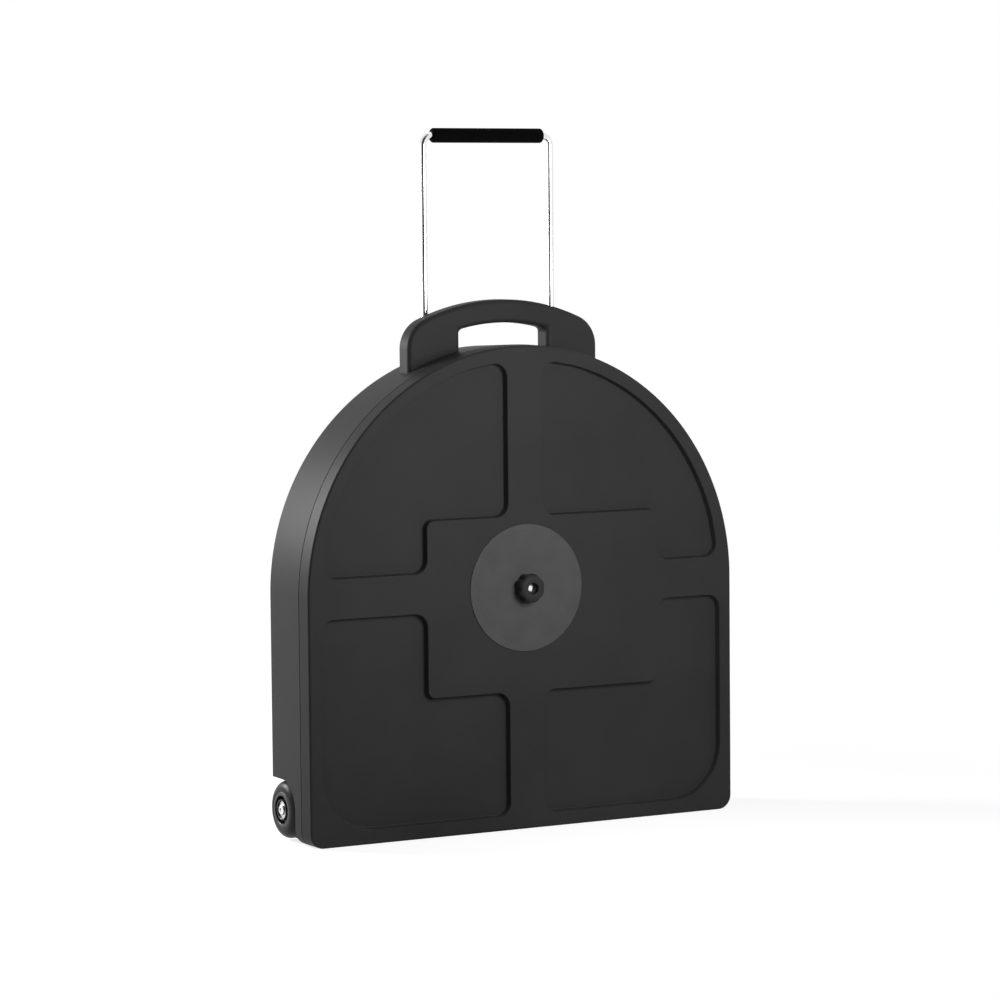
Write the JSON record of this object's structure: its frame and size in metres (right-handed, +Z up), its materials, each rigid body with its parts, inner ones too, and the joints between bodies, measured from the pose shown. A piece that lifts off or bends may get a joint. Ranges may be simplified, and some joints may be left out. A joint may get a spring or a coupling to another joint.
{
  "type": "wheeled cymbal case",
  "caption": "Arched hard case for cymbals with clamped lid, inner spindle, moulded carry handle, pull-out handle and skate wheels.",
  "frame": {"origin": "centre of the flat base that the case stands on, midway between its front and back faces", "axes": "+Z up, -Y towards the front lid, +X to the right seen from the front"},
  "size_m": [0.6126, 0.1375, 0.8817],
  "materials": {
    "black_plastic": "fine-textured moulded plastic",
    "grey_rubber": "matt",
    "foam": "closed-cell foam",
    "felt": "pressed felt",
    "chrome": "bright plated",
    "zinc": "zinc plated",
    "aluminium": "satin",
    "brass": "turned",
    "nylon": "satin moulded",
    "tyre": "smooth cast urethane"
  },
  "bodies": {
    "case": {"rear_shell": "black_plastic", "rear_foam": "foam", "spindle_flange": "zinc", "flange_screw_1": "zinc", "flange_screw_2": "zinc", "flange_screw_3": "zinc", "flange_screw_4": "zinc", "spindle_rod": "chrome", "spindle_sleeve": "nylon", "rear_felt": "felt", "guide_tube_left": "aluminium", "guide_tube_right": "aluminium", "guide_bush_left": "nylon", "guide_bush_right": "nylon", "tube_bracket_left": "nylon", "tube_bracket_right": "nylon", "bracket_screw_1": "zinc", "bracket_screw_2": "zinc", "bracket_screw_3": "zinc", "bracket_screw_4": "zinc", "axle_plate_left": "zinc", "axle_plate_right": "zinc", "axle_bolt_left": "chrome", "axle_bolt_right": "chrome", "axle_washer_left": "zinc", "axle_washer_right": "zinc", "axle_nut_left": "zinc", "axle_nut_right": "zinc", "wall_spacer_left": "zinc", "wall_spacer_right": "zinc", "bearing_spacer_left": "aluminium", "bearing_spacer_right": "aluminium", "bearing_inner_ring_out_left": "zinc", "bearing_inner_ring_in_left": "zinc", "bearing_inner_ring_out_right": "zinc", "bearing_inner_ring_in_right": "zinc"},
    "wheel_left": {"tyre_left": "tyre", "wheel_core_left": "nylon", "bearing_outer_ring_out_left": "zinc", "bearing_outer_ring_in_left": "zinc"},
    "wheel_right": {"tyre_right": "tyre", "wheel_core_right": "nylon", "bearing_outer_ring_out_right": "zinc", "bearing_outer_ring_in_right": "zinc"},
    "pull_handle": {"handle_rod": "chrome", "handle_grip": "foam", "rod_stop_left": "nylon", "rod_stop_right": "nylon"},
    "lid": {"front_lid": "black_plastic", "lid_pad": "grey_rubber", "lid_foam": "foam"},
    "knob_carriage": {"knob_washer": "zinc"},
    "knob": {"clamp_knob": "black_plastic", "knob_insert": "brass"},
    "nut_carriage": {"front_felt": "felt", "wing_nut_washer": "zinc"},
    "nut": {"wing_nut": "zinc"}
  },
  "joints": [
    {"name": "handle_slide", "type": "slide", "parent": "case", "child": "pull_handle", "axis": [0, 0, 1], "range_m": [-0.245, 0]},
    {"name": "wheel_left_spin", "type": "hinge", "parent": "case", "child": "wheel_left", "pos_m": [-0.293, 0.024, 0.039], "axis": [1, 0, 0], "continuous": true},
    {"name": "wheel_right_spin", "type": "hinge", "parent": "case", "child": "wheel_right", "pos_m": [0.293, 0.024, 0.039], "axis": [1, 0, 0], "continuous": true},
    {"name": "lid_lift", "type": "slide", "parent": "case", "child": "lid", "axis": [0, -1, 0], "range_m": [0, 0.16]},
    {"name": "knob_travel", "type": "slide", "parent": "lid", "child": "knob_carriage", "axis": [0, -1, 0], "range_m": [0, 0.0076]},
    {"name": "knob_turn", "type": "hinge", "parent": "knob_carriage", "child": "knob", "pos_m": [0, -0.061, 0.3055], "axis": [0, -1, 0], "range_deg": [0, 2160]},
    {"name": "nut_travel", "type": "slide", "parent": "case", "child": "nut_carriage", "axis": [0, -1, 0], "range_m": [0, 0.0126]},
    {"name": "nut_turn", "type": "hinge", "parent": "nut_carriage", "child": "nut", "pos_m": [0, -0.01, 0.3055], "axis": [0, -1, 0], "range_deg": [0, 3600]}
  ],
  "couplings": [
    {"joint": "knob_travel", "follows": "knob_turn", "m_per_rad": 0.00019894},
    {"joint": "nut_travel", "follows": "nut_turn", "m_per_rad": 0.00019894}
  ]
}
